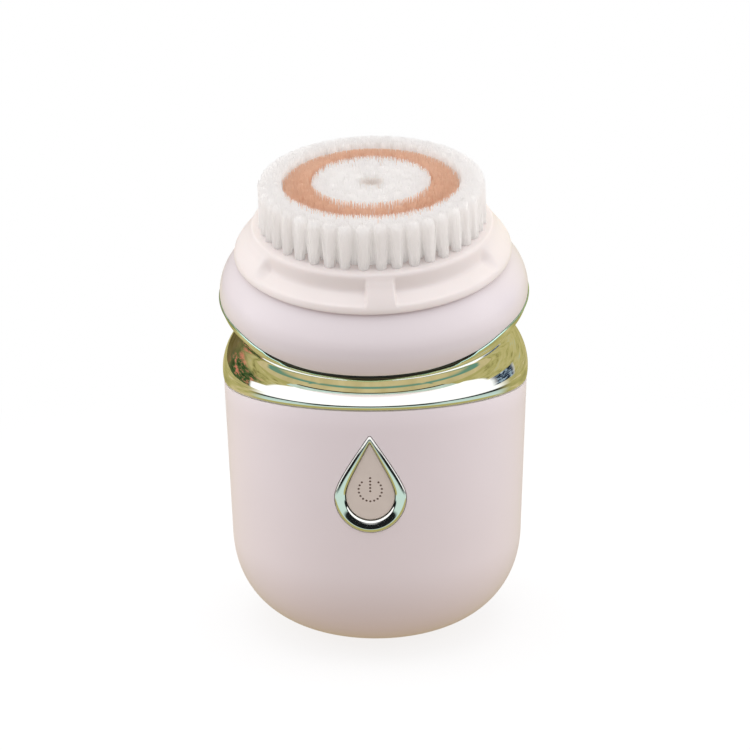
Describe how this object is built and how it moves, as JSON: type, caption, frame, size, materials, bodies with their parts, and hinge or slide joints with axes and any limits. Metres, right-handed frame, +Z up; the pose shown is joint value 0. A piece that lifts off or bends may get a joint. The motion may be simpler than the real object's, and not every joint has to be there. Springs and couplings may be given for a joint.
{
  "type": "facial cleansing brush",
  "caption": "Cup-shaped handheld facial brush: chrome waist leans the head forward, drop-shaped power button, push-on head with a fixed outer bristle ring round an oscillating tufted disc.",
  "frame": {"origin": "centre of the foot pad's underside, on the surface the brush stands on", "axes": "+Z up the body, +Y to the back, so the button faces -Y and the head leans towards -Y; +X to the right of a viewer who faces the button"},
  "size_m": [0.0558, 0.0576, 0.0894],
  "materials": {
    "pearl_shell": "satin pearl lacquer, very light blush white",
    "gloss_collar": "glossy white",
    "satin_white": "satin moulded white",
    "chrome": "mirror plated",
    "button_satin": "satin warm grey",
    "icon": "dark translucent dots",
    "white_nylon": "soft tapered nylon filament, white",
    "peach_nylon": "soft tapered nylon filament, peach orange",
    "silicone": "soft pale silicone",
    "frame_plastic": "moulded grey",
    "steel": "turned or plated steel",
    "copper": null,
    "dark_plastic": "dark moulded",
    "board": "solder-masked board",
    "cell": "shrink-wrapped cell",
    "red_wire": "insulated lead, red",
    "black_wire": "insulated lead, black"
  },
  "bodies": {
    "housing": {"body_shell": "pearl_shell", "base_pad": "silicone", "chrome_band": "chrome", "body_seal_ring": "silicone", "top_collar": "gloss_collar", "collar_seal_ring": "dark_plastic", "shaft_seal": "silicone", "button_bezel": "chrome", "button_gasket": "silicone", "main_board": "board", "control_chip": "dark_plastic", "power_inductor": "dark_plastic", "battery_connector": "satin_white", "switch_body": "dark_plastic", "board_screw_left": "steel", "board_screw_right": "steel", "icon_led_left": "satin_white", "icon_led_right": "satin_white", "chassis_frame": "frame_plastic", "chassis_screw_1": "steel", "chassis_screw_2": "steel", "chassis_screw_3": "steel", "chassis_screw_4": "steel", "battery_cell": "cell", "battery_strap": "dark_plastic", "battery_tab_positive": "steel", "battery_tab_negative": "steel", "charging_coil": "copper", "ferrite_shield": "dark_plastic", "motor_can": "steel", "motor_end_cap": "dark_plastic", "motor_coil": "copper", "front_bearing": "steel", "rear_bearing": "steel", "motor_mount_ring": "silicone", "battery_lead_red": "red_wire", "battery_lead_black": "black_wire", "motor_lead_a": "copper", "motor_lead_b": "copper", "coil_lead_a": "copper", "coil_lead_b": "copper"},
    "drive": {"motor_shaft": "steel", "rotor_magnet": "dark_plastic", "drive_hub": "satin_white"},
    "brush_ring": {"brush_ring": "satin_white", "head_snap_ring": "silicone", "outer_bristles": "white_nylon", "rotor_retainer": "satin_white"},
    "brush_rotor": {"brush_disc": "satin_white", "orange_bristles": "peach_nylon", "inner_bristles": "white_nylon"},
    "button": {"button_cap": "button_satin", "icon_light_guide": "icon"},
    "switch_plunger": {"switch_plunger": "dark_plastic"}
  },
  "joints": [
    {"name": "drive_oscillation", "type": "hinge", "parent": "housing", "child": "drive", "pos_m": [0, -0.00262, 0.06069], "axis": [0, -0.3502, 0.9367], "range_deg": [-8, 8], "stiffness_Nm_per_rad": 0.02},
    {"name": "head_release", "type": "slide", "parent": "housing", "child": "brush_ring", "axis": [0, -0.3502, 0.9367], "range_m": [0, 0.02]},
    {"name": "brush_oscillation", "type": "hinge", "parent": "brush_ring", "child": "brush_rotor", "pos_m": [0, -0.00682, 0.07193], "axis": [0, -0.3502, 0.9367], "range_deg": [-8, 8]},
    {"name": "button_press", "type": "slide", "parent": "housing", "child": "button", "axis": [0, 1, 0], "range_m": [0, 0.0004], "stiffness_N_per_m": 400},
    {"name": "switch_press", "type": "slide", "parent": "housing", "child": "switch_plunger", "axis": [0, 1, 0], "range_m": [0, 0.0004]}
  ],
  "couplings": [
    {"joint": "brush_oscillation", "follows": "drive_oscillation", "ratio": 1},
    {"joint": "switch_press", "follows": "button_press", "ratio": 1}
  ]
}
